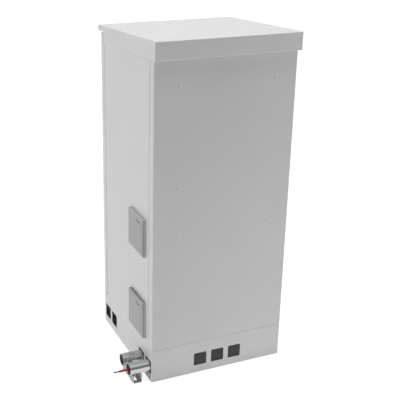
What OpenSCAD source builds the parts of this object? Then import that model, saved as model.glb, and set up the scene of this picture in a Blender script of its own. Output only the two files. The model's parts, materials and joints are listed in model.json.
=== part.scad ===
// Roadside utility cabinet: a folded sheet-steel body on a ported plinth, with a roof that falls to the
// door side, a hinged door, vent hoods, and cable conduits that lie on a short strut channel.
// Millimetres, +Z up. The origin is on the floor at the centre of the anchor holes.
// The rear cover faces -Y, the door faces +Y and the vented side faces -X.

/* [Body] */
// Width of the body
body_w = 652; // [600:2:800]
// Depth of the body over rear cover and door
body_d = 625; // [580:5:750]
// Thickness of the body's sheet steel
sheet = 2; // [1.5:0.5:3]
// Inner radius of every fold in the body's sheet
bend_in = 2; // [1:0.5:4]
// Depth of the folded returns of rear cover and door
return_d = 45; // [40:1:55]
// Width of the inward flanges of side panels and rear cover
flange_w = 30; // [28:1:36]
// Open seam between the plinth and what stands above it
seam = 1; // [0.5:0.5:4]

/* [Plinth] */
// Height of the plinth
plinth_h = 160; // [150:5:200]
// Thickness of the plinth's sheet
plinth_sheet = 3; // [2:0.5:4]
// Width of the plinth's inward flanges
plinth_flange = 40; // [36:1:46]
// Clearance round a conduit in its square port
port_clear = 0.6; // [0.3:0.1:0.9]
// Distance between the centres of neighbouring ports
port_pitch = 87; // [80:1:100]
// Number of ports in the rear and front walls
port_count = 3; // [1:1:4]
// Distance from the rear face to the centre of the first side port
port_inset_rear = 40; // [38:1:60]
// Distance from the front face to the centre of the last side port
port_inset_front = 52; // [38:1:60]
// Diameter of the anchor holes
anchor_d = 14; // [10:1:16]
// Distance between the anchor holes along the width
anchor_span = 520; // [440:10:540]
// Distance from the rear and front faces to the anchor holes
anchor_inset = 24; // [18:1:28]

/* [Roof] */
// Height of the roof's high edge above the floor
roof_h = 1552; // [1500:1:1800]
// Fall of the roof from its high edge to its low edge
roof_fall = 58; // [20:1:80]
// Overhang of the roof past rear cover and door
roof_overhang = 24.5; // [20:0.5:45]
// Overhang of the roof past the side panels
roof_side = 4.5; // [4:0.5:15]
// Height of the fascia over the rear cover and of the side skirts
fascia_h = 79.5; // [60:0.5:100]
// Height of the lip over the door
lip_h = 25; // [15:1:30]
// Thickness of the roof's sheet
roof_sheet = 2; // [1.5:0.5:3]
// Width of the hem folded under the fascia
hem_w = 14; // [8:1:18]
// Width of the roof rails' legs
roof_rail_w = 25; // [20:1:30]

/* [Door] */
// Gap above and below the door
door_gap = 5; // [3:0.5:8]
// Space for the seal between the frame and the door's fold
seal_gap = 3; // [2:0.5:5]
// Width of the inward fold round the door
fold_w = 22; // [20:1:26]
// Width of the door seal
seal_w = 12; // [8:1:14]
// Distance between the door's stiffeners
stiffener_span = 240; // [160:10:360]
// Width of a stiffener's back
stiffener_w = 40; // [30:1:60]
// Depth of a stiffener
stiffener_d = 20; // [12:1:25]
// Height of the sill and of the front rail's visible strip
sill_h = 38; // [32:1:50]

/* [Hinges] */
// Number of hinges
hinge_count = 3; // [2:1:4]
// Distance from the door's ends to the outer hinges
hinge_edge = 150; // [100:5:220]
// Diameter of the hinge pins
hinge_pin_d = 8; // [6:0.5:9]
// Outer diameter of the hinge knuckles
knuckle_d = 13; // [11.5:0.5:15]
// Length of each half of a hinge
knuckle_l = 36; // [28:1:50]
// Width of a hinge leaf
leaf_w = 38; // [34:1:39]
// Thickness of a hinge leaf
leaf_t = 3; // [2:0.5:4]
// Diameter of the hinge screws
hinge_screw_d = 6; // [4:0.5:6]

/* [Handle] */
// Height of the handle's shaft above the floor
handle_z = 820; // [600:10:1000]
// Distance from the side face to the handle's shaft
handle_inset = 70; // [62:1:90]
// Diameter of the handle's shaft
shaft_d = 12; // [10:0.5:14]
// Length of the lever from shaft to tip
lever_l = 120; // [80:1:150]
// Width of the lever at its boss
lever_w = 28; // [24:1:34]
// Thickness of the lever
lever_t = 10; // [6:0.5:14]
// Width of the base plate
base_w = 46; // [40:1:60]
// Thickness of the base plate
base_t = 6; // [4:0.5:10]
// Reach of the latch cam from the shaft
cam_reach = 56; // [50:1:58]
// Thickness of the latch cam
cam_t = 5; // [4:0.5:8]
// Space between the latch cam and the flange that it catches
cam_clear = 2.5; // [1:0.5:5]

/* [Vents] */
// Width and height of a vent hood
hood_size = 175; // [168:1:200]
// Depth of a vent hood
hood_d = 11; // [10:1:18]
// Width of a hood's bevelled border
hood_bevel = 18; // [12:1:18]
// Depth of a hood's straight side
hood_side = 5; // [4:0.5:6]
// Wall of a hood
hood_wall = 2.5; // [2:0.5:3.5]
// Thickness of the seal behind a hood
hood_seal_t = 9; // [4:0.5:10]
// Distance from the rear face to the hoods' centre line
hood_y = 161; // [150:1:260]
// Height of the lower hood's centre
hood_low_z = 279; // [270:1:320]
// Distance between the hoods' centres
hood_pitch = 400; // [300:1:600]
// Width and height of the air opening behind a hood
vent_open = 124; // [100:2:124]
// Thickness of the filter mats
filter_t = 10; // [6:1:15]
// Wall of the filter frames
frame_wall = 4; // [3:0.5:6]
// Width of the filter frames round the air opening
frame_border = 17; // [12:1:20]
// Diameter of the hood screws
hood_screw_d = 4; // [3:0.5:5]

/* [Mounting plates] */
// Width and height of a mounting plate
plate = 500; // [470:5:520]
// Thickness of a mounting plate
plate_t = 2.5; // [2:0.5:4]
// Distance between a plate's fixing screws
plate_span = 438; // [400:1:450]
// Height of the lower plate's centre
plate_low_z = 497; // [470:1:520]
// Distance between the plates' centres
plate_pitch = 645; // [560:1:660]
// Length of the spacers behind the plates
spacer_l = 20; // [10:1:24]
// Diameter of the spacers
spacer_d = 16; // [12:1:20]
// Diameter of the plate screws
plate_screw_d = 5; // [4:0.5:6]
// Diameter of the plate screws' dome heads
plate_head_d = 10; // [8:0.5:12]
// Length of the equipment rails
rail_l = 440; // [300:10:460]
// Length of the earth bar
earth_l = 220; // [160:10:300]

/* [Conduits] */
// Outer diameter of the conduits
conduit_od = 55.8; // [54:0.1:56]
// Wall of the conduits
conduit_wall = 2; // [1.5:0.5:3]
// Length of the conduits outside the plinth
conduit_out = 96; // [90:1:140]
// Length of the conduits inside the plinth
conduit_in = 125; // [80:5:140]
// Width and height of the strut channel
strut_w = 41.3; // [41:0.1:41.6]
// Wall of the strut channel
strut_wall = 2.5; // [2:0.5:3]
// Width of the strut channel's lips
strut_lip = 9.5; // [8:0.5:12]
// Depth of the strut channel's turned-in lips
strut_turn = 7; // [5:0.5:10]
// Length of the strut channel
strut_l = 135; // [130:1:200]
// Distance from the side face to the strut channel
strut_gap = 39; // [30:1:50]
// Distance from the rear face to the strut channel's end
strut_start = 20; // [5:1:30]
// Width of the strut channel's slots
slot_w = 14; // [10:1:16]
// Length of the strut channel's slots
slot_l = 28; // [20:1:30]
// Distance between the strut channel's slots
slot_pitch = 50; // [40:1:60]
// Distance from the strut channel's end to the first slot
slot_first = 35; // [25:1:40]

/* [Cable] */
// Outer diameter of the cable
cable_d = 9.6; // [8:0.1:10]
// Diameter of the cable's bare core
core_d = 6.6; // [5:0.1:7.5]
// Length of the bare core
core_l = 27; // [15:1:40]

/* [Fits] */
// Gap left between seated flat pieces
seat = 0.2; // [0.1:0.1:0.4]
// Radial running clearance of pins and shafts
run_clear = 0.05; // [0.02:0.01:0.1]
// Radial clearance of screw holes
screw_clear = 0.3; // [0.2:0.1:0.5]
// Gap kept between moving pieces
move_gap = 0.3; // [0.2:0.1:0.5]

/* [Hidden] */
$fn = 48;
paint = "gainsboro";
zinc = "silver";
dark = "dimgray";
hw = body_w / 2;
hd = body_d / 2;
bend_r = bend_in + sheet;
frame_y = hd - return_d;
roof_bend = bend_in + roof_sheet;
roof_y = hd + roof_overhang;
roof_x = hw + roof_side;
slope = atan(roof_fall / (2 * roof_y));
roof_sheet_z = roof_sheet / cos(slope);
lip_z = roof_h - roof_fall - lip_h;
door_z0 = plinth_h + door_gap;
door_z1 = lip_z - door_gap;
door_h = door_z1 - door_z0;
door_y = frame_y + seal_gap;
cover_z0 = plinth_h + seam;
floor_z = plinth_h + sheet;
port = conduit_od + 2 * port_clear;
port_z = strut_w + conduit_od / 2;
rail_z = door_z1 - sill_h;
rail_lip = 18;
frame_x = hw - flange_w;
rear_port_y = -hd + port_inset_rear;
front_port_y = hd - port_inset_front;
side_ports = [rear_port_y, rear_port_y + port_pitch, front_port_y - port_pitch, front_port_y];
plinth_r = bend_in + plinth_sheet;
cover_bolt_d = 6;
cover_bolt_rows = 4;
cover_bolt_inset = 16;
cover_bolt_margin = 120;
plinth_bolt_d = 8;
plinth_bolt_y = 180;
plinth_bolt_x = hw - sheet - 16;
roof_bolt_d = 6;
roof_bolt_y = 180;
plate_y = -hd + sheet + spacer_l;
rail_y = plate_y + plate_t;
rail_h = 7.5;
rail_z_shift = 25;
hinge_x = hw + knuckle_d / 2 + 0.5;
hinge_y = frame_y + seal_gap / 2;
hinge_step = (door_h - 2 * hinge_edge) / (hinge_count - 1);
hinge_zs = [for (i = [0:hinge_count - 1]) door_z0 + hinge_edge + i * hinge_step];
leaf_screw_ys = [leaf_w - 10, leaf_w - 25];
shaft_x = -hw + handle_inset;
cam_y = frame_y - sheet - cam_clear;
nut_t = 8;
base_drop = 38;
base_h = 150;
base_screw_dz = 62;
boss_t = lever_t + 6;
hood_zs = [hood_low_z, hood_low_z + hood_pitch];
hood_cy = -hd + hood_y;
hood_screw_z = 67;
hood_screw_y = -37;
hood_screw_pair = 13;
hood_corner = 3;
hood_seal_inset = 8;
hood_flange_w = 17;
frame_d = filter_t + 5;
frame_size = vent_open + 2 * frame_border;
conduit_x0 = -hw - conduit_out;
conduit_x1 = -hw + conduit_in;
strut_x = -hw - strut_gap - strut_w;
strut_y = -hd + strut_start;
gland_x = -hw + 205;
gland_y = -hd + 117.5;
gland_plate_w = 190;
gland_plate_d = 120;
gland_cut_margin = 18;
gland_screw_inset = 9;
gland_thread_d = 20;
gland_hex = 30;
terminal_z = 470;
terminal_w = 60;
terminal_h = 84;
terminal_d = 52;
earth_z = 330;
earth_post_l = 25;
earth_post_d = 14;
earth_bar_h = 25;
earth_bar_t = 6;
earth_holes = 9;
// Cable routes, from the cabinet's corner over the conduits: along the width, along the depth, height
tail_route = [
    [-75, 40, 69.2], [-80, 40, 69.2], [-85, 40, 69.2], [-90, 40, 69.2], [-95, 40, 69.2], [-99, 40, 69.2],
    [-103, 40, 69.2], [-107, 40, 69.2], [-111, 40, 69.1], [-115, 40, 69.1], [-119, 40, 69], [-123, 40, 69],
    [-127, 40, 68.9], [-131, 40, 68.8], [-135, 40, 68.7], [-138, 40, 68.7], [-140, 40, 68.7]
];
run_route = [
    [-75, 40, 69.2], [-50, 40, 69.2], [-25, 40, 69.2], [0, 40, 69.2], [25, 40, 69.2], [50, 40, 69.2],
    [72, 41, 69.2], [94, 44, 69.4], [115, 49, 69.9], [135.5, 56.5, 71.2], [155, 66.5, 73.7],
    [172, 78.5, 78.3], [187, 92.5, 86.3], [198, 105.5, 99.6], [203.5, 115, 119], [205, 117.5, 140],
    [205, 117.5, 162], [205, 117.5, 186], [205, 117.5, 210], [205, 116.5, 237], [205, 113, 264],
    [205, 106.5, 290], [205, 98.5, 315], [205, 88.5, 341], [205, 80, 366], [205, 73.5, 392],
    [205, 69.5, 418], [205, 68.5, 445], [205, 68.5, 468], [205, 68.5, 490]
];
terminal_cable_y = -hd + 68.5;

// Height of the roof's upper and lower surface over a place on the depth axis
function roof_top(y) = roof_h - roof_fall * (y + roof_y) / (2 * roof_y);
function roof_under(y) = roof_top(y) - roof_sheet_z;

// Folded sheet: an outer path with left turns only becomes the outline of a bent strip
function heading(a, b) = (b - a) / norm(b - a);
function left_of(d) = [-d[1], d[0]];
function turned(d, t) = [d[0] * cos(t) - d[1] * sin(t), d[0] * sin(t) + d[1] * cos(t)];
function turn_angle(d, e) = atan2(d[0] * e[1] - d[1] * e[0], d[0] * e[0] + d[1] * e[1]);
function bend_points(a, v, b, r, w) =
    let (d = heading(a, v), t = turn_angle(d, heading(v, b)), c = v - d * r * tan(t / 2) + left_of(d) * r)
    [for (i = [0:4]) c - turned(left_of(d), t * i / 4) * w];
function fold_side(p, r, w) = [for (i = [1:len(p) - 2]) each bend_points(p[i - 1], p[i], p[i + 1], r, w)];
function reversed(p) = [for (i = [len(p) - 1:-1:0]) p[i]];
function folded(p, r, s) =
    let (n = len(p) - 1, d0 = heading(p[0], p[1]), dn = heading(p[n - 1], p[n]))
    concat([p[0]], fold_side(p, r, r), [p[n], p[n] + left_of(dn) * s],
           reversed(fold_side(p, r, r - s)), [p[0] + left_of(d0) * s]);
function fold_face(p, r) = concat([p[0]], fold_side(p, r, r), [p[len(p) - 1]]);
function rounded_box(w, h, r) = concat(
    [for (a = [0:15:90]) [w / 2 - r + r * cos(a), h / 2 - r + r * sin(a)]],
    [for (a = [90:15:180]) [-w / 2 + r + r * cos(a), h / 2 - r + r * sin(a)]],
    [for (a = [180:15:270]) [-w / 2 + r + r * cos(a), -h / 2 + r + r * sin(a)]],
    [for (a = [270:15:360]) [w / 2 - r + r * cos(a), -h / 2 + r + r * sin(a)]]);

module block(a, b) {
    translate(a) cube(b - a);
}

// Outlines drawn in the YZ or XZ plane and extruded along the axis that is left
module yz_plate(x0, x1, points) {
    translate([x0, 0, 0]) rotate([90, 0, 90]) linear_extrude(x1 - x0) polygon(points);
}
module xz_plate(y0, y1, points) {
    translate([0, y1, 0]) rotate([90, 0, 0]) linear_extrude(y1 - y0) polygon(points);
}
module rod_x(x0, x1, d) {
    translate([x0, 0, 0]) rotate([0, 90, 0]) cylinder(h = x1 - x0, d = d);
}
module rod_y(y0, y1, d) {
    translate([0, y1, 0]) rotate([90, 0, 0]) cylinder(h = y1 - y0, d = d);
}
module hex_y(y0, y1, d) {
    translate([0, y1, 0]) rotate([90, 0, 0]) cylinder(h = y1 - y0, d = d, $fn = 6);
}
module both_x() {
    children();
    mirror([1, 0, 0]) children();
}

// Plinth
module plinth_ring(z0, z1, inset) {
    translate([0, 0, z0]) linear_extrude(z1 - z0) difference() {
        polygon(rounded_box(body_w, body_d, plinth_r));
        polygon(rounded_box(body_w - 2 * inset, body_d - 2 * inset, bend_in));
    }
}
module port_cut(p) {
    translate(p) cube([port, port, port], center = true);
}
module plinth() {
    color(paint) difference() {
        union() {
            plinth_ring(0, plinth_h, plinth_sheet);
            plinth_ring(0, plinth_sheet, plinth_flange);
            plinth_ring(plinth_h - plinth_sheet, plinth_h, plinth_flange);
        }
        for (i = [0:port_count - 1], y = [-hd, hd])
            port_cut([(i - (port_count - 1) / 2) * port_pitch, y, port_z]);
        for (y = side_ports, x = [-hw, hw])
            port_cut([x, y, port_z]);
        for (x = [-1, 1], y = [-1, 1])
            translate([x * anchor_span / 2, y * (hd - anchor_inset), -1])
                cylinder(h = plinth_sheet + 2, d = anchor_d);
        plinth_bolt_holes();
    }
}
module at_plinth_bolts() {
    for (x = [-1, 1], y = [-1, 1])
        translate([x * plinth_bolt_x, y * plinth_bolt_y, 0]) children();
}
module plinth_bolt_holes() {
    at_plinth_bolts() translate([0, 0, plinth_h - plinth_sheet - 1])
        cylinder(h = plinth_sheet + 2 * sheet + 2, d = plinth_bolt_d + 2 * screw_clear);
}
module plinth_bolts() {
    color(zinc) at_plinth_bolts() {
        translate([0, 0, floor_z + sheet]) cylinder(h = 5.5, d = 15, $fn = 6);
        translate([0, 0, plinth_h - plinth_sheet - 12])
            cylinder(h = floor_z + sheet - plinth_h + plinth_sheet + 13, d = plinth_bolt_d);
    }
}

// Floor with its sill, gland plate and cable gland
module floor_plate() {
    x = hw - sheet - bend_in;
    xs = frame_x - seat;
    y = frame_y - sheet - seat;
    color(zinc) difference() {
        union() {
            block([-x, -y, floor_z], [x, y, floor_z + sheet]);
            block([-xs, -frame_y, floor_z], [xs, frame_y, floor_z + sheet]);
            block([-xs, frame_y - sheet, floor_z], [xs, frame_y, plinth_h + sill_h]);
            block([-xs, -frame_y, floor_z], [xs, -frame_y + sheet, plinth_h + sill_h]);
        }
        translate([gland_x, gland_y, floor_z])
            cube([gland_plate_w - 2 * gland_cut_margin, gland_plate_d - 2 * gland_cut_margin, 4 * sheet],
                 center = true);
        plinth_bolt_holes();
        gland_screw_holes();
    }
}
module at_gland_screws() {
    for (x = [-1, 1], y = [-1, 1])
        translate([gland_x + x * (gland_plate_w / 2 - gland_screw_inset),
                   gland_y + y * (gland_plate_d / 2 - gland_screw_inset), floor_z]) children();
}
module gland_screw_holes() {
    at_gland_screws() translate([0, 0, -1]) cylinder(h = 2 * sheet + 2, d = plate_screw_d + 2 * screw_clear);
}
module gland_plate() {
    color(zinc) difference() {
        translate([gland_x, gland_y, floor_z + sheet])
            linear_extrude(sheet) polygon(rounded_box(gland_plate_w, gland_plate_d, 6));
        translate([gland_x, gland_y, floor_z])
            cylinder(h = 3 * sheet, d = gland_thread_d + 2 * screw_clear);
        gland_screw_holes();
    }
}
module gland_plate_screws() {
    color(zinc) at_gland_screws() {
        translate([0, 0, 2 * sheet]) cylinder(h = 3, d = 9);
        translate([0, 0, -8]) cylinder(h = 2 * sheet + 9, d = plate_screw_d);
    }
}
module gland_bore() {
    cylinder(h = plinth_h, d = cable_d + 2 * screw_clear, center = true);
}
module cable_gland() {
    color(dark) translate([gland_x, gland_y, floor_z + 2 * sheet]) difference() {
        union() {
            translate([0, 0, -18]) cylinder(h = 19, d = gland_thread_d);
            cylinder(h = 9, d = gland_hex, $fn = 6);
            translate([0, 0, 9]) cylinder(h = 8, d = 24);
            translate([0, 0, 17]) cylinder(h = 8, d1 = 24, d2 = 15);
        }
        gland_bore();
    }
}
module gland_locknut() {
    color(dark) translate([gland_x, gland_y, floor_z + sheet]) difference() {
        translate([0, 0, -6]) cylinder(h = 6, d = gland_hex, $fn = 6);
        cylinder(h = 20, d = gland_thread_d + 2 * run_clear, center = true);
    }
}

// Side panels: folded channels with a top edge that follows the roof
module side_sheet() {
    path = [[-frame_x, frame_y], [-hw, frame_y], [-hw, -frame_y], [-frame_x, -frame_y]];
    y = frame_y - sheet - seat;
    intersection() {
        union() {
            translate([0, 0, plinth_h]) linear_extrude(roof_h) polygon(folded(path, bend_r, sheet));
            block([-hw + sheet / 2, -y, plinth_h], [-frame_x, y, floor_z]);
        }
        yz_plate(-hw - 1, 0,
                 [[-hd, 0], [hd, 0], [hd, roof_under(hd) - seat], [-hd, roof_under(-hd) - seat]]);
    }
}
module at_hoods() {
    for (z = hood_zs) translate([-hw, hood_cy, z]) children();
}
module hood_screw_spots() {
    for (s = [-1, 1]) translate([0, hood_screw_y + s * hood_screw_pair, hood_screw_z]) children();
}
module left_side_panel() {
    color(paint) difference() {
        side_sheet();
        at_hoods() {
            cube([4 * sheet, vent_open, vent_open], center = true);
            hood_screw_spots() rod_x(-1, 4 * sheet, hood_screw_d + 2 * screw_clear);
        }
        cover_bolt_holes();
        plinth_bolt_holes();
    }
}
module right_side_panel() {
    color(paint) difference() {
        mirror([1, 0, 0]) side_sheet();
        cover_bolt_holes();
        plinth_bolt_holes();
        hinge_screw_holes(-1);
    }
}

// Top rails join the side panels over the door and behind the rear cover
module top_rail(side, top) {
    xs = frame_x - seat;
    xe = hw - sheet - bend_in;
    tab = 14;
    mirror([0, side < 0 ? 1 : 0, 0]) {
        block([-xs, frame_y - sheet, rail_z], [xs, frame_y, top]);
        block([-xs, frame_y - rail_lip, rail_z], [xs, frame_y, rail_z + sheet]);
        both_x() block([xs - tab, frame_y - 2 * sheet - seat, rail_z], [xe, frame_y - sheet - seat, top]);
        both_x() block([xs - tab, frame_y - 2 * sheet - seat, rail_z], [xs, frame_y - sheet, top]);
    }
}
module front_top_rail() {
    color(paint) top_rail(1, roof_under(frame_y) - seat);
}
module rear_top_rail() {
    color(paint) top_rail(-1, roof_under(-frame_y + rail_lip) - seat);
}

// Roof with fascia, hem, stepped side skirts and lip, and the rails that carry it
module roof() {
    top_y = frame_y - 2 * seat;
    path = [
        [roof_y, lip_z], [roof_y, roof_top(roof_y)], [-roof_y, roof_h], [-roof_y, roof_h - fascia_h],
        [-roof_y + hem_w, roof_h - fascia_h]
    ];
    skirt = concat(fold_face([path[0], path[1], path[2], path[3]], roof_bend),
                   [[top_y, roof_top(top_y) - fascia_h], [top_y, roof_top(top_y) - lip_h]]);
    color(paint) {
        yz_plate(-roof_x, roof_x, folded(path, roof_bend, roof_sheet));
        both_x() yz_plate(-roof_x, -roof_x + roof_sheet, skirt);
    }
}
module at_roof_bolts() {
    for (x = [-1, 1], y = [-roof_bolt_y, roof_bolt_y])
        translate([x * (hw - sheet - roof_rail_w / 2 - 2), y, roof_under(y) - seat]) rotate([-slope, 0, 0])
            children();
}
module roof_rails() {
    y = frame_y - 2 * sheet - 2 * seat;
    x = -hw + sheet;
    leg = [[-y, roof_under(-y) - roof_rail_w], [y, roof_under(y) - roof_rail_w],
           [y, roof_under(y) - seat], [-y, roof_under(-y) - seat]];
    top = [[-y, roof_under(-y) - seat - sheet], [y, roof_under(y) - seat - sheet],
           [y, roof_under(y) - seat], [-y, roof_under(-y) - seat]];
    color(zinc) difference() {
        both_x() {
            yz_plate(x, x + sheet, leg);
            yz_plate(x, x + roof_rail_w, top);
        }
        at_roof_bolts() cylinder(h = 20, d = roof_bolt_d + 2 * screw_clear, center = true);
    }
}
module roof_bolts() {
    color(zinc) at_roof_bolts() {
        translate([0, 0, -sheet - 4.5]) cylinder(h = 4, d = 11.5, $fn = 6);
        translate([0, 0, -sheet - 1]) cylinder(h = sheet + 1, d = roof_bolt_d);
    }
}

// Pan: a folded face with returns, closed at its ends, with its outer face at y = 0
module pan(depth, inner, height) {
    path = [[-hw + inner, depth], [-hw, depth], [-hw, 0], [hw, 0], [hw, depth], [hw - inner, depth]];
    face = [path[1], path[2], path[3], path[4]];
    linear_extrude(height) polygon(folded(path, bend_r, sheet));
    for (z = [0, height - sheet])
        translate([0, 0, z]) linear_extrude(sheet) polygon(fold_face(face, bend_r));
}

// Rear cover and the bolts that hold it to the side panels' flanges
cover_z1 = roof_under(-frame_y) - seam;
cover_bolt_top = min(cover_z1 - cover_bolt_margin, rail_z - 14);
cover_bolt_step = (cover_bolt_top - cover_z0 - cover_bolt_margin) / (cover_bolt_rows - 1);
module at_cover_bolts() {
    for (i = [0:cover_bolt_rows - 1], x = [-1, 1])
        translate([x * (hw - cover_bolt_inset), -frame_y,
                   cover_z0 + cover_bolt_margin + i * cover_bolt_step])
            children();
}
module cover_bolt_holes() {
    at_cover_bolts() rod_y(-sheet - 1, sheet + 1, cover_bolt_d + 2 * screw_clear);
}
module at_plate_screws() {
    for (z = [plate_low_z, plate_low_z + plate_pitch], x = [-1, 1], s = [-1, 1])
        translate([x * plate_span / 2, -hd, z + s * plate_span / 2]) children();
}
module rear_cover() {
    color(paint) difference() {
        translate([0, -hd, cover_z0]) pan(return_d, flange_w, cover_z1 - cover_z0);
        cover_bolt_holes();
        at_plate_screws() rod_y(-1, sheet + 1, plate_screw_d + 2 * screw_clear);
    }
}
module cover_bolts() {
    color(zinc) at_cover_bolts() {
        hex_y(sheet, sheet + 4, 11.5);
        rod_y(-sheet - 8, sheet + 1, cover_bolt_d);
    }
}
module cover_nuts() {
    color(zinc) at_cover_bolts() difference() {
        hex_y(-sheet - 5, -sheet, 11.5);
        rod_y(-20, 20, cover_bolt_d + 2 * run_clear);
    }
}

// Mounting plates on spacers behind the rear cover's dome-headed screws
module mounting_plate(z) {
    difference() {
        translate([0, 0, z]) xz_plate(plate_y, plate_y + plate_t, rounded_box(plate, plate, 8));
        at_plate_screws() rod_y(0, spacer_l + 20, plate_screw_d + 2 * screw_clear);
    }
}
module upper_mounting_plate() {
    color(zinc) mounting_plate(plate_low_z + plate_pitch);
}
module lower_mounting_plate() {
    color(zinc) mounting_plate(plate_low_z);
}
module plate_spacers() {
    color(zinc) at_plate_screws() difference() {
        rod_y(sheet, sheet + spacer_l, spacer_d);
        rod_y(0, spacer_l + 10, plate_screw_d + 2 * screw_clear);
    }
}
module plate_screws() {
    dome = 2.5;
    ball = (plate_head_d * plate_head_d / 4 + dome * dome) / (2 * dome);
    color(zinc) at_plate_screws() {
        intersection() {
            translate([0, ball - dome, 0]) sphere(r = ball);
            rod_y(-dome - 1, 0, 2 * plate_head_d);
        }
        rod_y(-dome / 2, sheet + spacer_l + plate_t + 7, plate_screw_d);
    }
}
module plate_nuts() {
    color(zinc) at_plate_screws() translate([0, sheet + spacer_l + plate_t, 0]) difference() {
        hex_y(0, 4, 9.2);
        rod_y(-20, 20, plate_screw_d + 2 * run_clear);
    }
}

// Equipment rails with a hat section, the terminal block that the cable goes to, and the earth bar
module equipment_rails() {
    brim = 17.5;
    crown = 13.5;
    hat = [
        [-brim, rail_h], [-brim, rail_h - 1], [-crown, rail_h - 1], [-crown, 0], [crown, 0],
        [crown, rail_h - 1], [brim, rail_h - 1], [brim, rail_h], [crown - 1, rail_h], [crown - 1, 1],
        [1 - crown, 1], [1 - crown, rail_h]
    ];
    color(zinc) for (z = [plate_low_z, plate_low_z + plate_pitch])
        translate([rail_l / 2, rail_y, z + rail_z_shift]) rotate([0, -90, 0])
            linear_extrude(rail_l) polygon(hat);
}
module terminal_block() {
    y = rail_y + rail_h;
    color(dark) difference() {
        translate([gland_x, 0, terminal_z + terminal_h / 2])
            xz_plate(y, y + terminal_d, rounded_box(terminal_w, terminal_h, 4));
        translate([gland_x, terminal_cable_y, terminal_z - 1])
            cylinder(h = 30, d = cable_d + 2 * screw_clear);
        for (x = [-1, 1])
            translate([gland_x + x * terminal_w / 4, y + terminal_d - 6, terminal_z + terminal_h - 20])
                rod_y(0, 7, 9);
    }
}
module at_earth_posts() {
    for (y = [-1, 1])
        translate([hw - sheet, y * (earth_l / 2 - 25), earth_z]) children();
}
module earth_bar() {
    x = hw - sheet - earth_post_l;
    color("darkgoldenrod") difference() {
        block([x - earth_bar_t, -earth_l / 2, earth_z - earth_bar_h / 2],
              [x, earth_l / 2, earth_z + earth_bar_h / 2]);
        for (i = [1:earth_holes])
            translate([x, -earth_l / 2 + i * earth_l / (earth_holes + 1), earth_z - 5])
                rod_x(-earth_bar_t - 1, 1, 6);
    }
}
module earth_bar_posts() {
    color("firebrick") at_earth_posts() rod_x(-earth_post_l, 0, earth_post_d);
}

// Vent hoods: bevelled shells that stand off the panel on an inset seal, with slots in the lower wall,
// a flange for the seal and bosses for the screws. The bevel has a steep and a flat part.
module hood_body(size, side, depth, bevel, r) {
    hull() for (p = [[0, 0], [0.22, 0.42], [1, 1]], x = [-1, 1], y = [-1, 1]) {
        e = size / 2 - r - bevel * p[0];
        translate([x * e, y * e, 0]) cylinder(h = side + (depth - side) * p[1], r = r, $fn = 24);
    }
}
module hood_ring(outer, inner, h) {
    linear_extrude(h) difference() {
        polygon(rounded_box(outer, outer, hood_corner));
        polygon(rounded_box(inner, inner, hood_corner));
    }
}
module hood_shell() {
    w = hood_wall;
    slots = 7;
    slot_step = 20;
    difference() {
        union() {
            difference() {
                hood_body(hood_size, hood_side, hood_d, hood_bevel, hood_corner);
                translate([0, 0, -0.01])
                    hood_body(hood_size - 2 * w, hood_side - 1, hood_d - w, hood_bevel, hood_corner - w);
            }
            hood_ring(hood_size - w, hood_size - 2 * hood_flange_w, hood_side / 3);
            for (s = [-1, 1])
                translate([hood_screw_z, hood_screw_y + s * hood_screw_pair, 0])
                    cylinder(h = hood_d - w / 2, d = hood_screw_d + 5);
        }
        for (i = [0:slots - 1])
            translate([-hood_size / 2, (i - (slots - 1) / 2) * slot_step, hood_side / 2])
                cube([6 * w, slot_step - 8, hood_side / 2], center = true);
        for (s = [-1, 1])
            translate([hood_screw_z, hood_screw_y + s * hood_screw_pair, -1])
                cylinder(h = hood_d + 2, d = hood_screw_d + 2 * screw_clear);
    }
}
module vent_hood(z) {
    translate([-hw - hood_seal_t, hood_cy, z]) rotate([0, -90, 0]) hood_shell();
}
module upper_vent_hood() {
    color("darkgray") vent_hood(hood_zs[1]);
}
module lower_vent_hood() {
    color("darkgray") vent_hood(hood_zs[0]);
}
module hood_seals() {
    outer = hood_size - 2 * hood_seal_inset;
    color("black") at_hoods() rotate([0, -90, 0])
        hood_ring(outer, hood_size - 2 * hood_flange_w, hood_seal_t);
}
module hood_screws() {
    color(dark) at_hoods() hood_screw_spots() {
        rod_x(-hood_seal_t - hood_d - 2.4, -hood_seal_t - hood_d, hood_screw_d + 3.5);
        rod_x(-hood_seal_t - hood_d - 1, sheet + 5, hood_screw_d);
    }
}
module filter_frames() {
    bars = 6;
    clear_w = frame_size - 2 * frame_wall;
    color("lightgray") at_hoods() translate([sheet, 0, 0]) {
        difference() {
            translate([frame_d / 2, 0, 0]) cube([frame_d, frame_size, frame_size], center = true);
            translate([frame_d / 2, 0, 0]) cube([2 * frame_d, clear_w, clear_w], center = true);
            hood_screw_spots() rod_x(-1, 8, hood_screw_d + 2 * screw_clear);
        }
        for (i = [1:bars])
            translate([frame_d - 1.5, 0, -clear_w / 2 + i * clear_w / (bars + 1)])
                cube([3, clear_w + 1, 4], center = true);
    }
}
module vent_filters() {
    size = frame_size - 2 * frame_wall - 2 * seat;
    color("whitesmoke") at_hoods() translate([sheet + 1, 0, 0]) difference() {
        translate([filter_t / 2, 0, 0]) cube([filter_t, size, size], center = true);
        hood_screw_spots() rod_x(-1, 8, hood_screw_d + 4 * screw_clear);
    }
}

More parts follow.
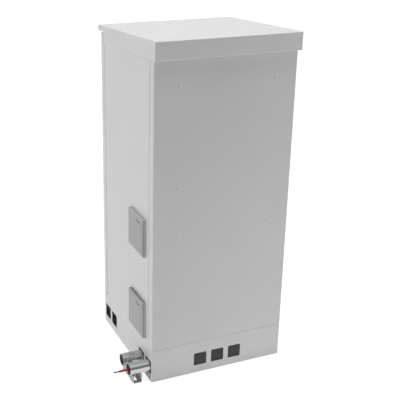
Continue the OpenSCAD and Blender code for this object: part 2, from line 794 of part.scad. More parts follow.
// Conduits on the strut channel
module conduit(y) {
    translate([0, y, port_z]) difference() {
        rod_x(conduit_x0, conduit_x1, conduit_od);
        rod_x(conduit_x0 - 1, conduit_x1 + 1, conduit_od - 2 * conduit_wall);
    }
}
module rear_conduit() {
    color("lightsteelblue") conduit(side_ports[0]);
}
module front_conduit() {
    color("lightsteelblue") conduit(side_ports[1]);
}
module strut_channel() {
    w = strut_w;
    path = [
        [strut_lip, w - strut_turn], [strut_lip, w], [0, w], [0, 0], [w, 0], [w, w], [w - strut_lip, w],
        [w - strut_lip, w - strut_turn]
    ];
    slots = floor((strut_l - slot_first - slot_l / 2) / slot_pitch) + 1;
    color("lightsteelblue") difference() {
        translate([strut_x, strut_y, 0]) xz_plate(0, strut_l, folded(path, strut_wall + 1, strut_wall));
        for (i = [0:slots - 1])
            translate([strut_x + w / 2, strut_y + slot_first + i * slot_pitch, -1])
                linear_extrude(strut_wall + 2) {
                    square([slot_w, slot_l - slot_w], center = true);
                    for (s = [-1, 1]) translate([0, s * (slot_l - slot_w) / 2]) circle(d = slot_w);
                }
    }
}

// Cable: a tube swept along a route of points
function route_dir(p, i) = let (a = p[max(i - 1, 0)], b = p[min(i + 1, len(p) - 1)]) (b - a) / norm(b - a);
function ring(c, t, r, n) =
    let (u = cross([0, 1, 0], t) / norm(cross([0, 1, 0], t)), v = cross(t, u))
    [for (k = [0:n - 1]) c + r * (cos(360 * k / n) * u + sin(360 * k / n) * v)];
module swept_tube(route, d, n) {
    last = len(route) - 1;
    points = [for (i = [0:last]) each ring(route[i], route_dir(route, i), d / 2, n)];
    walls = [for (i = [0:last - 1], k = [0:n - 1])
        [i * n + k, i * n + (k + 1) % n, (i + 1) * n + (k + 1) % n, (i + 1) * n + k]];
    start = [for (k = [n - 1:-1:0]) k];
    finish = [for (k = [0:n - 1]) last * n + k];
    polyhedron(points, concat([reversed(start)], [for (f = walls) reversed(f)], [reversed(finish)]));
}
module supply_cable() {
    color("firebrick") translate([-hw, -hd, 0]) swept_tube(run_route, cable_d, 10);
}
module cable_tail() {
    color("firebrick") translate([-hw, -hd, 0]) swept_tube(tail_route, cable_d, 10);
}
module cable_core() {
    tip = tail_route[len(tail_route) - 1];
    color("silver") translate(tip + [-hw, -hd, 0]) {
        rod_x(-core_l + core_d / 3, 0, core_d);
        translate([-core_l, 0, 0]) rotate([0, 90, 0])
            cylinder(h = core_d / 3, d1 = core_d * 0.6, d2 = core_d);
    }
}

// Door with its seal, stiffeners and hinges
module door_seal() {
    inset = bend_r + 3;
    x1 = hw - inset;
    x0 = x1 - seal_w;
    z0 = door_z0 + inset;
    z1 = door_z1 - inset;
    y1 = door_y - move_gap;
    color("black") difference() {
        block([-x1, frame_y, z0], [x1, y1, z1]);
        block([-x0, frame_y - 1, z0 + seal_w], [x0, y1 + 1, z1 - seal_w]);
    }
}
module door() {
    depth = hd - door_y;
    color(paint) difference() {
        translate([0, hd, door_z0]) mirror([0, 1, 0]) {
            pan(depth, fold_w, door_h);
            for (z = [0, door_h - fold_w])
                block([-hw + sheet, depth - sheet, z], [hw - sheet, depth, z + fold_w]);
        }
        translate([shaft_x, 0, handle_z]) {
            rod_y(hd - sheet - 1, hd + 1, shaft_d + 1);
            base_screw_spots() rod_y(hd - sheet - 1, hd + 1, plate_screw_d + 2 * screw_clear);
        }
        hinge_screw_holes(1);
    }
}
module door_stiffeners() {
    brim = 15;
    w = stiffener_w / 2;
    d = stiffener_d;
    s = sheet;
    hat = [
        [-w - brim, 0], [-w - brim, -s], [-w, -s], [-w, -d], [w, -d], [w, -s], [w + brim, -s],
        [w + brim, 0], [w - s, 0], [w - s, s - d], [s - w, s - d], [s - w, 0]
    ];
    color(zinc) both_x()
        translate([stiffener_span / 2, hd - sheet, door_z0 + fold_w + seam])
            linear_extrude(door_h - 2 * fold_w - 2 * seam) polygon(hat);
}
module at_hinges() {
    for (z = hinge_zs) translate([hinge_x, hinge_y, z]) children();
}
module hinge_half(side) {
    z0 = side < 0 ? -knuckle_l : move_gap / 2;
    length = knuckle_l - move_gap / 2;
    difference() {
        union() {
            translate([0, 0, z0]) cylinder(h = length, d = knuckle_d);
            translate([hw - hinge_x, side < 0 ? -leaf_w : 0, z0]) cube([leaf_t, leaf_w, length]);
        }
        translate([0, 0, -knuckle_l - 1]) cylinder(h = 2 * knuckle_l + 2, d = hinge_pin_d + 2 * run_clear);
        leaf_screw_spots(side) rod_x(-knuckle_d, leaf_t, hinge_screw_d + 2 * screw_clear);
    }
}
module leaf_screw_spots(side) {
    for (y = leaf_screw_ys) translate([hw - hinge_x, side * y, side * knuckle_l / 2]) children();
}
module hinge_screw_holes(side) {
    at_hinges() leaf_screw_spots(side) rod_x(-sheet - 1, 1, hinge_screw_d + 2 * screw_clear);
}
module hinge_screws(side) {
    at_hinges() leaf_screw_spots(side) {
        rod_x(leaf_t, leaf_t + 3, 1.8 * hinge_screw_d);
        rod_x(-sheet - 4, leaf_t + 1, hinge_screw_d);
    }
}
module hinge_frame_leaves() {
    color(zinc) at_hinges() hinge_half(-1);
}
module hinge_door_leaves() {
    color(zinc) at_hinges() hinge_half(1);
}
module hinge_pins() {
    color(zinc) at_hinges() translate([0, 0, -knuckle_l]) cylinder(h = 2 * knuckle_l - 1, d = hinge_pin_d);
}
module hinge_frame_screws() {
    color(zinc) hinge_screws(-1);
}
module hinge_door_screws() {
    color(zinc) hinge_screws(1);
}

// Handle: a lever on a shaft through the door, with a base plate outside and a latch cam inside
module base_screw_spots() {
    for (s = [-1, 1]) translate([0, 0, -base_drop + s * base_screw_dz]) children();
}
module handle_base() {
    color(dark) translate([shaft_x, 0, handle_z]) difference() {
        translate([0, 0, -base_drop]) xz_plate(hd, hd + base_t, rounded_box(base_w, base_h, 10));
        rod_y(hd - 1, hd + base_t + 1, shaft_d + 2 * run_clear);
        base_screw_spots() rod_y(hd - 1, hd + base_t + 1, plate_screw_d + 2 * screw_clear);
    }
}
module handle_screws() {
    color(zinc) translate([shaft_x, 0, handle_z]) base_screw_spots() {
        rod_y(hd + base_t, hd + base_t + 2.5, 9);
        rod_y(hd - sheet - 6, hd + base_t + 1, plate_screw_d);
    }
}
module handle_lever() {
    y0 = hd + base_t + move_gap;
    tip_w = lever_w * 0.6;
    arm_y = y0 + boss_t - lever_t;
    color(dark) translate([shaft_x, 0, handle_z]) {
        rod_y(cam_y - cam_t - nut_t - 4, y0 + 1, shaft_d);
        rod_y(y0, y0 + boss_t, lever_w);
        xz_plate(arm_y, arm_y + lever_t,
                 [[-lever_w / 2, 0], [-tip_w / 2, -lever_l], [tip_w / 2, -lever_l], [lever_w / 2, 0]]);
        translate([0, 0, -lever_l]) rod_y(arm_y, arm_y + lever_t, tip_w);
    }
}
module latch_cam() {
    hub = shaft_d + 14;
    color(zinc) translate([shaft_x, 0, handle_z]) difference() {
        union() {
            rod_y(cam_y - cam_t, cam_y, hub);
            xz_plate(cam_y - cam_t, cam_y,
                     [[-hub / 2, 0], [hub / 2, 0], [hub / 3, cam_reach], [-hub / 3, cam_reach]]);
        }
        rod_y(cam_y - cam_t - 1, cam_y + 1, shaft_d + 2 * run_clear);
    }
}
module latch_nut() {
    color(zinc) translate([shaft_x, 0, handle_z]) difference() {
        hex_y(cam_y - cam_t - nut_t, cam_y - cam_t, 1.7 * shaft_d);
        rod_y(cam_y - cam_t - nut_t - 1, cam_y, shaft_d + 2 * run_clear);
    }
}

plinth();
floor_plate();
left_side_panel();
right_side_panel();
rear_top_rail();
front_top_rail();
roof_rails();
roof_bolts();
roof();
rear_cover();
cover_bolts();
cover_nuts();
plinth_bolts();
upper_mounting_plate();
lower_mounting_plate();
plate_spacers();
plate_screws();
plate_nuts();
equipment_rails();
terminal_block();
earth_bar();
earth_bar_posts();
gland_plate();
gland_plate_screws();
cable_gland();
gland_locknut();
upper_vent_hood();
lower_vent_hood();
hood_seals();
hood_screws();
filter_frames();
vent_filters();
rear_conduit();
front_conduit();
strut_channel();
supply_cable();
cable_tail();
cable_core();
door_seal();
hinge_frame_leaves();
hinge_pins();
hinge_frame_screws();
door();
door_stiffeners();
hinge_door_leaves();
hinge_door_screws();
handle_base();
handle_screws();
handle_lever();
latch_cam();
latch_nut();
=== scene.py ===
"""Looks of a roadside utility cabinet: powder-coated sheet steel on a ported plinth, with moulded vent hoods,
galvanised conduits on a strut channel and a red supply cable. Metres, +Z up, in the CAD model's frame."""
import json
import math

import bmesh
import bpy
from mathutils import Matrix, Vector


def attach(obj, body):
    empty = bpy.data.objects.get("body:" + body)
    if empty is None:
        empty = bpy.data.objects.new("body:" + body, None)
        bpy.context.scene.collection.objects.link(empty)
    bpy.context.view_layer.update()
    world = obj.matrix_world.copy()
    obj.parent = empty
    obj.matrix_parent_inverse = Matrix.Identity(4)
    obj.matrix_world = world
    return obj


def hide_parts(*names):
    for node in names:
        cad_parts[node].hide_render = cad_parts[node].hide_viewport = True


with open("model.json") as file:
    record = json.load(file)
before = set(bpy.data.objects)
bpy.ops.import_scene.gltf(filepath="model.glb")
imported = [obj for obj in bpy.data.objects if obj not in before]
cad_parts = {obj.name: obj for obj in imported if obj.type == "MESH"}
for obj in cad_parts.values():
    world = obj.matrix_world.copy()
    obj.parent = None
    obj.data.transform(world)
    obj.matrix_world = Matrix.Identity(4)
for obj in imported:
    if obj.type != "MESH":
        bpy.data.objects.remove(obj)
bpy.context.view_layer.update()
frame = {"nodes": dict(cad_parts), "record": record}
parts = frame["nodes"]
scene = bpy.context.scene
scene.view_settings.view_transform = "Standard"

# The photograph's camera: its place, aim and lens come from the cabinet's corners
heading, dip, roll = math.radians(25.677), math.radians(21.995), math.radians(-1.633)
camera_place = (-1.6220, -3.4569, 2.2655)
sensor_mm, focal_pixels, picture_pixels = 36.0, 886.21, 400
aim = Vector((math.sin(heading) * math.cos(dip), math.cos(heading) * math.cos(dip), -math.sin(dip)))
level = Vector((math.cos(heading), -math.sin(heading), 0))
below = aim.cross(level)
right = math.cos(roll) * level + math.sin(roll) * below
down = -math.sin(roll) * level + math.cos(roll) * below
camera_data = bpy.data.cameras.new("photo_camera")
camera_data.sensor_width = sensor_mm
camera_data.lens = sensor_mm * focal_pixels / picture_pixels
camera_data.clip_end = 100
camera = bpy.data.objects.new("photo_camera", camera_data)
scene.collection.objects.link(camera)
axes = Matrix((right, -down, -aim)).transposed().to_4x4()
camera.matrix_world = Matrix.Translation(camera_place) @ axes
scene.camera = camera


def linear(code):
    """sRGB hex to the linear colour that a socket takes."""
    rgb = [int(code[i:i + 2], 16) / 255 for i in (1, 3, 5)]
    return [c / 12.92 if c <= 0.04045 else ((c + 0.055) / 1.055) ** 2.4 for c in rgb] + [1.0]


def add(tree, kind, inputs=None, **settings):
    """One node with its settings; inputs take a value, or another node's output as a link."""
    made = tree.nodes.new(kind)
    for name, value in settings.items():
        setattr(made, name, value)
    for name, value in (inputs or {}).items():
        if isinstance(value, bpy.types.NodeSocket):
            tree.links.new(value, made.inputs[name])
        else:
            made.inputs[name].default_value = value
    return made


def per_metre(size_mm):
    """Pattern scale for features of a real size."""
    return 1000.0 / size_mm


def new_finish(name, code, **surface):
    """A material with its tree, its Principled surface and the object's own coordinates."""
    finish = bpy.data.materials.new(name)
    finish.use_nodes = True
    tree = finish.node_tree
    skin = tree.nodes["Principled BSDF"]
    skin.inputs["Base Color"].default_value = linear(code)
    for socket, value in surface.items():
        skin.inputs[socket].default_value = value
    finish.diffuse_color = linear(code)
    where = tree.nodes.new("ShaderNodeTexCoord").outputs["Object"]
    return finish, tree, skin, where


def two_tones(tree, skin, amount, colours):
    """Base colour that goes from the first tone to the second."""
    tone = add(tree, "ShaderNodeMix", {"Factor": amount}, data_type="RGBA")
    tone.inputs["A"].default_value = linear(colours[0])
    tone.inputs["B"].default_value = linear(colours[1])
    tree.links.new(tone.outputs["Result"], skin.inputs["Base Color"])


def speckled(tree, skin, where, colours, colour_mm, rough, rough_mm, bump_mm, bump_depth_mm, bump_strength):
    """Cloudy colour between two tones, cloudy roughness and a fine bump, each with its size in mm."""
    cloud = add(tree, "ShaderNodeTexNoise", {"Vector": where, "Scale": per_metre(colour_mm), "Detail": 3.0})
    two_tones(tree, skin, cloud.outputs["Fac"], colours)
    patch = add(tree, "ShaderNodeTexNoise", {"Vector": where, "Scale": per_metre(rough_mm), "Detail": 4.0})
    sheen = add(tree, "ShaderNodeMapRange", {"Value": patch.outputs["Fac"], "From Min": 0.3, "From Max": 0.7,
                                             "To Min": rough[0], "To Max": rough[1]})
    tree.links.new(sheen.outputs["Result"], skin.inputs["Roughness"])
    grain = add(tree, "ShaderNodeTexNoise", {"Vector": where, "Scale": per_metre(bump_mm), "Detail": 2.0})
    relief = add(tree, "ShaderNodeBump", {"Height": grain.outputs["Fac"], "Strength": bump_strength,
                                          "Distance": bump_depth_mm * 0.001})
    tree.links.new(relief.outputs["Normal"], skin.inputs["Normal"])


# Fine grain, pores and scratches below are drawn 0.6 to 1.5 mm wide, coarser than real, so that they show.

# Polyester powder coat on sheet steel, sprayed and baked: an even light grey with a satin sheen and orange
# peel. Real orange peel is about 2 mm wide; 7 mm is drawn so that it shows at this size.
powder_coat, tree, skin, where = new_finish("powder_coat_light_grey", "#CDCDCD", IOR=1.5)
speckled(tree, skin, where, ("#CBCBCB", "#CFCFCF"), 260, (0.40, 0.48), 90, 7, 0.15, 0.12)

# Polycarbonate hood, moulded with a matt spark-eroded face: mid grey, soft highlights, fine grain
hood_plastic, tree, skin, where = new_finish("moulded_polycarbonate_grey", "#9E9E9E", IOR=1.58)
speckled(tree, skin, where, ("#9C9C9C", "#A0A0A0"), 60, (0.48, 0.58), 25, 1.2, 0.1, 0.15)

# The skirts behind the hoods: polycarbonate in a pale grey near the coat's, set lighter than the hood as
# painted light that lifts the shade they get against the panel
lightened_skirt_plastic, tree, skin, where = new_finish("lightened_polycarbonate_grey", "#C6C6C6", IOR=1.58)
speckled(tree, skin, where, ("#C4C4C4", "#C8C8C8"), 60, (0.45, 0.55), 25, 1.2, 0.1, 0.15)

# Hot-dip galvanised sheet: dull zinc with crystal spangle, each crystal a little lighter or rougher
galvanised, tree, skin, where = new_finish("galvanised_steel_spangle", "#A2A5A7", Metallic=1.0)
crystal = add(tree, "ShaderNodeTexVoronoi", {"Vector": where, "Scale": per_metre(9)})
shade = add(tree, "ShaderNodeSeparateColor", {"Color": crystal.outputs["Color"]})
two_tones(tree, skin, shade.outputs["Red"], ("#979A9C", "#ADAFB1"))
sheen = add(tree, "ShaderNodeMapRange", {"Value": shade.outputs["Green"], "To Min": 0.38, "To Max": 0.52})
tree.links.new(sheen.outputs["Result"], skin.inputs["Roughness"])

# Galvanised strut, roll formed: matt zinc in a pale tone, less metallic than the sheet, painted light that
# lifts the shaded inside of the channel
lightened_strut, tree, skin, where = new_finish("galvanised_strut_lightened", "#AAACAD", Metallic=0.1)
crystal = add(tree, "ShaderNodeTexVoronoi", {"Vector": where, "Scale": per_metre(7)})
shade = add(tree, "ShaderNodeSeparateColor", {"Color": crystal.outputs["Color"]})
two_tones(tree, skin, shade.outputs["Red"], ("#A0A2A3", "#B4B6B7"))
sheen = add(tree, "ShaderNodeMapRange", {"Value": shade.outputs["Green"], "To Min": 0.5, "To Max": 0.65})
tree.links.new(sheen.outputs["Result"], skin.inputs["Roughness"])

# Galvanised conduit, drawn through a die: bright zinc with polished and dull streaks along the tube
drawn_tube, tree, skin, where = new_finish("galvanised_tube_drawn", "#C2C4C5", Metallic=0.85)
streaks = []
for length_mm, width_mm in ((120, 9), (60, 2.2)):
    along = add(tree, "ShaderNodeMapping", {"Vector": where, "Scale": (width_mm / length_mm, 1, 1)})
    streaks.append(add(tree, "ShaderNodeTexNoise", {"Vector": along.outputs[0], "Scale": per_metre(width_mm),
                                                    "Detail": 2.0}).outputs["Fac"])
two_tones(tree, skin, streaks[0], ("#9C9E9F", "#E2E3E3"))
sheen = add(tree, "ShaderNodeMapRange", {"Value": streaks[1], "From Min": 0.3, "From Max": 0.7,
                                         "To Min": 0.16, "To Max": 0.28})
tree.links.new(sheen.outputs["Result"], skin.inputs["Roughness"])

# Zinc-plated fasteners, barrel plated: bright grey with fine scratches from tumbling
zinc_plate, tree, skin, where = new_finish("zinc_plated_steel", "#B4B5B2", Metallic=1.0)
speckled(tree, skin, where, ("#ABACAA", "#BDBEBC"), 8, (0.22, 0.36), 3, 0.8, 0.05, 0.2)

# Stainless hood screws, chemically blackened: dark grey, half matt
blackened_screw, tree, skin, where = new_finish("blackened_stainless", "#4C4D4E", Metallic=0.6)
speckled(tree, skin, where, ("#474849", "#525354"), 5, (0.4, 0.5), 3, 0.8, 0.05, 0.2)

# Glass-filled nylon, moulded black with a fine matt grain; on the screw sockets the same black is painted
# shade
black_nylon_and_socket_shade, tree, skin, where = new_finish("moulded_nylon_black_and_socket_shade", "#1C1D1E", IOR=1.53)
speckled(tree, skin, where, ("#191A1B", "#202122"), 30, (0.42, 0.55), 12, 1.0, 0.1, 0.2)

# Cellular rubber, die cut: dull black with open pores; on the port edging and the cover seals the black is
# partly painted shade
cell_rubber_and_shade, tree, skin, where = new_finish("cellular_rubber_black_and_shade", "#161616", IOR=1.52)
speckled(tree, skin, where, ("#131313", "#1B1B1B"), 12, (0.75, 0.9), 6, 1.5, 0.3, 0.4)

# The hoods' seals and the grey beads over the hoods and under the roof skirts: grey silicone, gunned and
# smoothed, dulled by dust; the roof beads are painted shadow and the hood beads partly painted shade
grey_silicone_and_shade, tree, skin, where = new_finish("smoothed_silicone_grey_and_shade", "#9A9A9A", IOR=1.45)
speckled(tree, skin, where, ("#959595", "#9F9F9F"), 12, (0.6, 0.75), 6, 1.5, 0.3, 0.3)

# Polyester filter mat, felted: pale loose fibres
filter_felt, tree, skin, where = new_finish("felted_polyester_white", "#DFE1E2", IOR=1.5)
speckled(tree, skin, where, ("#D4D6D8", "#E9EAEB"), 9, (0.85, 0.98), 6, 2.5, 1.0, 0.6)

# Soft PVC sheath, extruded: deep crimson, slightly waxy
red_sheath, tree, skin, where = new_finish("extruded_pvc_crimson", "#7C0F1A", IOR=1.53)
speckled(tree, skin, where, ("#740C17", "#85121D"), 14, (0.36, 0.46), 6, 1.5, 0.1, 0.15)

# Tinned copper strands, drawn: dull grey, darkened by air
tinned_copper, tree, skin, where = new_finish("tinned_copper_drawn", "#8A8886", Metallic=1.0)
speckled(tree, skin, where, ("#7C7A78", "#989694"), 4, (0.28, 0.4), 2, 0.6, 0.05, 0.2)

# Brass bar, drawn: warm yellow with a fine grain
drawn_brass, tree, skin, where = new_finish("drawn_brass", "#C9A25A", Metallic=1.0)
speckled(tree, skin, where, ("#BF974F", "#D2AD66"), 20, (0.25, 0.38), 5, 0.8, 0.05, 0.2)

# Each CAD node takes the finish of its material slot, apart from a few that have their own
finishes = {
    "grey_powder_coat": powder_coat,
    "galvanised_steel": galvanised,
    "zinc_steel": zinc_plate,
    "black_plastic": black_nylon_and_socket_shade,
    "grey_plastic": hood_plastic,
    "pale_plastic": hood_plastic,
    "filter_mat": filter_felt,
    "black_rubber": cell_rubber_and_shade,
    "red_insulation": red_sheath,
    "tinned_copper": tinned_copper,
    "brass": drawn_brass,
    "red_plastic": red_sheath,
}
own_finishes = {
    "rear_conduit": drawn_tube,
    "front_conduit": drawn_tube,
    "strut_channel": lightened_strut,
    "plate_screws": powder_coat,
    "hood_screws": blackened_screw,
    "hood_seals": grey_silicone_and_shade,
}
for row in frame["record"]["subparts"]:
    part = parts[row["node"]]
    part.data.materials.clear()
    part.data.materials.append(own_finishes.get(row["node"], finishes[row["material_slot"]]))

# Places on the cabinet that the trim is fitted to, as in the CAD model
body_half_x, body_half_y = 0.326, 0.3125
port_half, port_z, plinth_sheet = 0.0285, 0.0692, 0.003
end_port_xs = (-0.087, 0, 0.087)
side_port_ys = (-0.2725, -0.1855, 0.1735, 0.2605)
hood_y, hood_zs = -0.1515, (0.279, 0.679)


def fitted(name, mesh, finish):
    """A thin piece that stays on the cabinet."""
    bmesh.ops.recalc_face_normals(mesh, faces=mesh.faces)
    data = bpy.data.meshes.new(name)
    mesh.to_mesh(data)
    mesh.free()
    piece = bpy.data.objects.new(name, data)
    scene.collection.objects.link(piece)
    data.materials.append(finish)
    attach(piece, "cabinet")
    return piece


def joined(mesh, one, two):
    """A band of faces between two rings with the same number of corners."""
    count = len(one)
    return [mesh.faces.new((one[k], one[(k + 1) % count], two[(k + 1) % count], two[k]))
            for k in range(count)]


# The supply cable's free end: the CAD tail's route in mm, x and z, then the bare strands
tail_y = -0.2725
tail_route = [
    (-401, 69.2), (-406, 69.2), (-411, 69.2), (-416, 69.2), (-421, 69.2), (-425, 69.2),
    (-429, 69.2), (-433, 69.2), (-437, 69.1), (-441, 69.1), (-445, 69.0), (-449, 69.0),
    (-453, 68.9), (-457, 68.8), (-461, 68.7), (-464, 68.7), (-466, 68.7),
]
tail_points = [(x * 0.001, tail_y, z * 0.001) for x, z in tail_route]
sheath_line = bpy.data.curves.new("red_tail", "CURVE")
sheath_line.dimensions = "3D"
sheath_line.bevel_depth = 0.0048
sheath_line.bevel_resolution = 8
sheath_line.use_fill_caps = True
run = sheath_line.splines.new("POLY")
run.points.add(len(tail_points) - 1)
for point, place in zip(run.points, tail_points):
    point.co = (*place, 1)
run.use_smooth = True
red_tail = bpy.data.objects.new("red_tail", sheath_line)
scene.collection.objects.link(red_tail)
sheath_line.materials.append(red_sheath)
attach(red_tail, "cabinet")
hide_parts("cable_tail")


def swept(mesh, line, radius, sides):
    """A round wire along a line of points, closed at both ends."""
    rings = []
    for i, centre in enumerate(line):
        along = (line[min(i + 1, len(line) - 1)] - line[max(i - 1, 0)]).normalized()
        across = along.cross(Vector((0, 0, 1))).normalized()
        over = across.cross(along)
        rings.append([mesh.verts.new(centre + radius * (math.cos(a) * across + math.sin(a) * over))
                      for a in (2 * math.pi * k / sides for k in range(sides))])
    for one, two in zip(rings, rings[1:]):
        for face in joined(mesh, one, two):
            face.smooth = True
    mesh.faces.new(rings[0])
    mesh.faces.new(reversed(rings[-1]))


def bare_strands():
    """Seven drawn wires, six laid round one with a long twist, cut off nearly square."""
    mesh = bmesh.new()
    start = Vector(tail_points[-1])
    length, wire_radius, lay_radius, lay_length, hidden, steps = 0.027, 0.00112, 0.00216, 0.075, 0.001, 12
    for k in range(7):
        offset = 0 if k == 0 else lay_radius
        end = length - 0.0006 * (k % 3)
        line = []
        for i in range(steps + 1):
            along = length * i / steps - hidden
            turn = 2 * math.pi * (k / 6 + along / lay_length)
            line.append(start + Vector((-min(along, end), offset * math.cos(turn), offset * math.sin(turn))))
        swept(mesh, line, wire_radius, 12)
    strands = fitted("bare_strands", mesh, tinned_copper)
    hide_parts("cable_core")
    return strands


strands = bare_strands()


def port_edging_and_shade():
    """Rubber edging pushed over the cut edge of every square port: a lip in it and a narrow outer flange. Its
    black is partly the rubber's own and partly painted shade for the dark gap at each port's rim.
    """
    mesh = bmesh.new()
    # Each section point: distance beyond the port's edge, and distance outward from the plinth's face
    section = ((0.0022, 0.0001), (0.0022, 0.0006), (0.0016, 0.0011), (0.0002, 0.0011),
               (-0.0004, 0.0006), (-0.0004, -plinth_sheet), (-0.0001, -plinth_sheet), (-0.0001, 0.0001))
    places = [(Vector((x, side * body_half_y, port_z)), Vector((0, side, 0)))
              for x in end_port_xs for side in (-1, 1)]
    places += [(Vector((side * body_half_x, y, port_z)), Vector((side, 0, 0)))
               for y in side_port_ys for side in (-1, 1)]
    up = Vector((0, 0, 1))
    for centre, out in places:
        across = out.cross(up)
        loops = [[mesh.verts.new(centre + out * height + (port_half + beyond) * (a * across + b * up))
                  for a, b in ((-1, -1), (1, -1), (1, 1), (-1, 1))] for beyond, height in section]
        for one, two in zip(loops, loops[1:] + loops[:1]):
            joined(mesh, one, two)
    fitted("port_edging_and_shade", mesh, cell_rubber_and_shade)


def block(mesh, low, high):
    """A square-edged bar between two corners."""
    corner = [mesh.verts.new((x, y, z))
              for x in (low[0], high[0]) for y in (low[1], high[1]) for z in (low[2], high[2])]
    for ring in ((0, 1, 3, 2), (4, 6, 7, 5), (0, 4, 5, 1), (2, 3, 7, 6), (0, 2, 6, 4), (1, 5, 7, 3)):
        mesh.faces.new([corner[k] for k in ring])


def cover_seals_and_groove_shade():
    """Rubber bead in the groove where the rear cover's folded sides meet the side panels; its black is partly
    the rubber's own and partly painted shade that darkens the groove.
    """
    mesh = bmesh.new()
    low, high, groove_y = 0.166, 1.46, -0.2676
    mouth, root, half_width = 0.0012, 0.0032, 0.0015
    for side in (-1, 1):
        mouth_x, root_x = side * (body_half_x - mouth), side * (body_half_x - root)
        ring = ((mouth_x, -half_width), (mouth_x, half_width), (root_x, 0.0))
        loops = [[mesh.verts.new((x, groove_y + y, z)) for x, y in ring] for z in (low, high)]
        joined(mesh, *loops)
        mesh.faces.new(loops[0])
        mesh.faces.new(loops[1])
    fitted("cover_seals_and_groove_shade", mesh, cell_rubber_and_shade)


def hood_skirts():
    """Thin skirts that close the gap behind each hood's rim, in a pale grey that is painted light against
    their shade, and a grey bead on top, partly sealant against rain and partly painted shade for the dark
    line over each hood.
    """
    skirts, beads = bmesh.new(), bmesh.new()
    out, wall, half, thick = -0.3348, -0.3262, 0.0872, 0.002
    for z in hood_zs:
        for end in (-1, 1):
            near, far = sorted((hood_y + end * half, hood_y + end * (half - thick)))
            block(skirts, (out, near, z - half), (wall, far, z + half - thick))
        block(skirts, (out, hood_y - half + thick, z - half), (wall, hood_y + half - thick, z - half + thick))
        block(beads, (out, hood_y - half, z + half - thick), (wall, hood_y + half, z + half))
    fitted("hood_skirts", skirts, lightened_skirt_plastic)
    fitted("hood_top_bead_and_shade", beads, grey_silicone_and_shade)


def roof_shadow_bead():
    """A grey bead on each side panel, thinning out along the roof skirt's edge, and one up its end: painted
    shadow lines where the skirt meets the panel.
    """
    mesh = bmesh.new()
    corners = [v.co for v in parts["roof"].data.vertices]
    low_end = min(corners, key=lambda c: c.z)
    fascia_back = -0.33
    high_end = min((c for c in corners if c.y < fascia_back), key=lambda c: c.z)
    inner, outer, below_edge = 0.3259, 0.3292, 0.0002
    end_inner, end_outer, end_width, end_top = 0.3266, 0.3298, 0.005, 1.469
    for side in (-1, 1):
        rings = []
        for y, tall in ((-0.306, 0.0022), (-0.06, 0.0022), (0.03, 0.0005), (low_end.y, 0.0005)):
            share = (y - high_end.y) / (low_end.y - high_end.y)
            top = high_end.z + share * (low_end.z - high_end.z) - below_edge
            section = ((inner, top), (outer, top), (outer, top - 0.6 * tall), (inner, top - tall))
            rings.append([mesh.verts.new((side * x, y, z)) for x, z in section])
        for one, two in zip(rings, rings[1:]):
            joined(mesh, one, two)
        mesh.faces.new(rings[0])
        mesh.faces.new(rings[-1])
        near, far = sorted((side * end_inner, side * end_outer))
        block(mesh, (near, low_end.y - 0.0001, low_end.z), (far, low_end.y + end_width, end_top))
    fitted("roof_shadow_bead", mesh, grey_silicone_and_shade)


def socket_shade_discs():
    """Black hexagons a hair proud of the plate screws' painted heads: painted shade for the dark of each hex
    socket; paint fills the lower right one.
    """
    mesh = bmesh.new()
    apex = min(v.co.y for v in parts["plate_screws"].data.vertices)
    radius, proud, deep = 0.0018, 0.00005, 0.0006
    for x, heights in ((-0.219, (0.278, 0.716, 0.923, 1.361)), (0.219, (0.716, 0.923, 1.361))):
        for z in heights:
            rim = [(x + radius * math.cos(math.radians(60 * k)), z + radius * math.sin(math.radians(60 * k)))
                   for k in range(6)]
            outer = [mesh.verts.new((px, apex - proud, pz)) for px, pz in rim]
            inner = [mesh.verts.new((px, apex + deep, pz)) for px, pz in rim]
            mesh.faces.new(outer)
            mesh.faces.new(inner)
            joined(mesh, outer, inner)
    fitted("socket_shade_discs", mesh, black_nylon_and_socket_shade)


port_edging_and_shade()
cover_seals_and_groove_shade()
hood_skirts()
roof_shadow_bead()
socket_shade_discs()

# Curved CAD faces shade smoothly, and folds and cut edges stay crisp
for part in parts.values():
    part.data.shade_smooth()
    part.data.set_sharp_from_angle(angle=math.radians(28))


# Studio: white surroundings for the camera. Reflections show soft boxes above, on the left and beyond the
# door side, in a dim room.
def seen_by_eye(tree):
    """1 where the camera looks straight at it or through glass, and 0 for plain light."""
    path = add(tree, "ShaderNodeLightPath")
    eye = add(tree, "ShaderNodeMath", {0: path.outputs["Is Camera Ray"],
                                       1: path.outputs["Is Transmission Ray"]}, operation="MAXIMUM")
    return path, eye.outputs[0]


world = bpy.data.worlds.new("studio_room")
world.use_nodes = True
scene.world = world
tree = world.node_tree
room = tree.nodes["Background"]
room.inputs["Color"].default_value = (1, 1, 1, 1)
path, eye = seen_by_eye(tree)
aimed = add(tree, "ShaderNodeSeparateXYZ", {0: tree.nodes.new("ShaderNodeTexCoord").outputs["Generated"]})
above = add(tree, "ShaderNodeMapRange", {"Value": aimed.outputs["Z"], "From Min": 0.45, "From Max": 0.9,
                                         "To Min": 0.12, "To Max": 0.8}, interpolation_type="SMOOTHSTEP")
leftward = add(tree, "ShaderNodeMapRange", {"Value": aimed.outputs["X"], "From Min": -0.45, "From Max": -0.85,
                                            "To Min": 0.0, "To Max": 0.9}, interpolation_type="SMOOTHSTEP")
behind = add(tree, "ShaderNodeMapRange", {"Value": aimed.outputs["Y"], "From Min": 0.1, "From Max": 0.6,
                                          "To Min": 0.0, "To Max": 0.27}, interpolation_type="SMOOTHSTEP")
boxes = add(tree, "ShaderNodeMath", {0: above.outputs[0], 1: leftward.outputs[0]}, operation="MAXIMUM")
boxes = add(tree, "ShaderNodeMath", {0: boxes.outputs[0], 1: behind.outputs[0]}, operation="MAXIMUM")
room_light = 0.048
mirrored = add(tree, "ShaderNodeMix", {"Factor": path.outputs["Is Glossy Ray"], "A": room_light,
                                       "B": boxes.outputs[0]}, data_type="FLOAT")
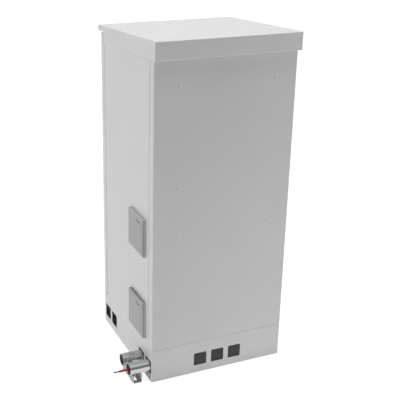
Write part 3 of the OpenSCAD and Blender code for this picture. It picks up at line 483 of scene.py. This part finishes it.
glow = add(tree, "ShaderNodeMix", {"Factor": eye, "A": mirrored.outputs["Result"], "B": 1.0},
           data_type="FLOAT")
tree.links.new(glow.outputs["Result"], room.inputs["Strength"])

# White paper floor: it glows white to the eye and in reflections; inside the plinth it stays dark but glows
# faintly, painted light that lifts the dark seen through the ports
floor_reach, floor_drop = 30, 0.0005
plinth_inside_x, plinth_inside_y = 0.323, 0.309
painted_glow_inside, glow_outside = 0.040, 0.88
floor_mesh = bpy.data.meshes.new("studio_floor")
floor_corners = ((-1, -1), (1, -1), (1, 1), (-1, 1))
floor_mesh.from_pydata([(x * floor_reach, y * floor_reach, 0) for x, y in floor_corners], [], [(0, 1, 2, 3)])
floor = bpy.data.objects.new("studio_floor", floor_mesh)
floor.location.z = -floor_drop
scene.collection.objects.link(floor)
paper, tree, skin, where = new_finish("seamless_paper_white", "#D4D4D4", Roughness=0.9)
path, eye = seen_by_eye(tree)
seen = add(tree, "ShaderNodeMath", {0: eye, 1: path.outputs["Is Glossy Ray"]}, operation="MAXIMUM")
spot = add(tree, "ShaderNodeVectorMath", {0: where}, operation="ABSOLUTE")
spot = add(tree, "ShaderNodeSeparateXYZ", {0: spot.outputs[0]})
beside = add(tree, "ShaderNodeMath", {0: spot.outputs["X"], 1: plinth_inside_x}, operation="GREATER_THAN")
before = add(tree, "ShaderNodeMath", {0: spot.outputs["Y"], 1: plinth_inside_y}, operation="GREATER_THAN")
outside = add(tree, "ShaderNodeMath", {0: beside.outputs[0], 1: before.outputs[0]}, operation="MAXIMUM")
shown = add(tree, "ShaderNodeMath", {0: seen.outputs[0], 1: outside.outputs[0]}, operation="MULTIPLY")
glare = add(tree, "ShaderNodeMapRange", {"Value": outside.outputs[0], "To Min": painted_glow_inside,
                                         "To Max": glow_outside})
two_tones(tree, skin, shown.outputs[0], ("#D4D4D4", "#6A6A6A"))
lift = add(tree, "ShaderNodeMath", {0: seen.outputs[0], 1: glare.outputs[0]}, operation="MULTIPLY")
skin.inputs["Emission Color"].default_value = (1, 1, 1, 1)
tree.links.new(lift.outputs[0], skin.inputs["Emission Strength"])
floor_mesh.materials.append(paper)


def lamp(name, kind, place, target, energy, **settings):
    """A lamp that neither the camera nor a reflection shows."""
    light = bpy.data.lights.new(name, kind)
    light.energy = energy
    for key, value in settings.items():
        setattr(light, key, value)
    made = bpy.data.objects.new(name, light)
    made.location = place
    made.rotation_mode = "QUATERNION"
    made.rotation_quaternion = (Vector(target) - Vector(place)).to_track_quat("-Z", "Y")
    made.visible_camera = False
    made.visible_glossy = False
    scene.collection.objects.link(made)


# Distant soft boxes: place, strength and the angle that each is wide
for name, place, strength, wide in (
    ("soft_box_above", (0.0, 0.0, 6.0), 2.912, 8),
    ("soft_box_front", (0.0, -1.247, 5.869), 0.296, 12),
    ("soft_box_front_right", (1.589, -1.589, 5.563), 0.543, 20),
    ("soft_box_left", (-5.196, 0.0, 3.0), 1.108, 14),
    ("soft_box_rear_left", (-4.44, 3.73, 1.55), 0.4, 20),
):
    lamp(name, "SUN", place, (0, 0, 0), strength, angle=math.radians(wide))
# Near panels that fill the shade: place, target, watts, width and height, and the angle that each spreads to
for name, place, target, watts, width, height, spread in (
    ("fill_low_front", (0.55, -1.5, 0.12), (0.15, -0.31, 0.2), 2.95, 1.6, 0.3, 180),
    ("fill_right", (1.0, -0.5, 1.0), (0.3, -0.31, 1.0), 0.502, 0.3, 1.0, 180),
    ("fill_upper_right", (0.95, -0.7, 1.65), (0.3, -0.31, 1.4), 0.66, 0.5, 0.4, 180),
    ("fill_floor_edge", (0.0, -0.45, 0.008), (0.0, -0.31, 0.012), 0.048, 0.66, 0.014, 180),
    ("fill_strut", (-0.41, -0.52, 0.03), (-0.39, -0.31, 0.015), 0.02, 0.04, 0.03, 24),
):
    lamp(name, "AREA", place, target, watts, shape="RECTANGLE", size=width, size_y=height,
         spread=math.radians(spread))
